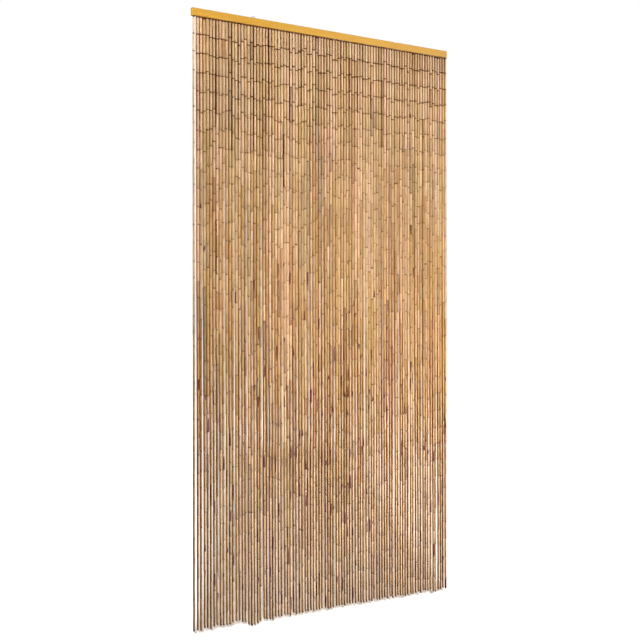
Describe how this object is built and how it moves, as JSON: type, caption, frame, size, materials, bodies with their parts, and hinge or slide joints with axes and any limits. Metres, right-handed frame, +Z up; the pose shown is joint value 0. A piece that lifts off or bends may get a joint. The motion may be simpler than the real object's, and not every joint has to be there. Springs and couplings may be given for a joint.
{
  "type": "bamboo fly curtain with header bar",
  "caption": "Door-height fly curtain of bamboo tube strands, strung close together under a slim wooden header bar with steel hanging plates on its back.",
  "frame": {"origin": "middle of the header bar's top edge, in the plane of the hanging plates' rear faces, which is the surface that the curtain hangs on", "axes": "+Z up along the strands, +X along the header bar to the right as seen from the front, front faces -Y, the wall side is +Y"},
  "size_m": [1.0016, 0.0138, 2.0087],
  "materials": {
    "bar_wood": "honey-coloured varnish with fine straight grain",
    "bamboo": "natural thin bamboo, smooth rind, each tube of another tone",
    "string": "dark brown waxed twisted string",
    "plate_steel": "zinc-plated sheet steel",
    "screw_steel": "zinc-plated screw steel"
  },
  "bodies": {
    "root": {"header_bar": "bar_wood", "hanger_plate_left": "plate_steel", "hanger_plate_right": "plate_steel", "hanger_screw_left_upper": "screw_steel", "hanger_screw_left_lower": "screw_steel", "hanger_screw_right_upper": "screw_steel", "hanger_screw_right_lower": "screw_steel", "strand_comb": "bamboo"}
  },
  "joints": []
}
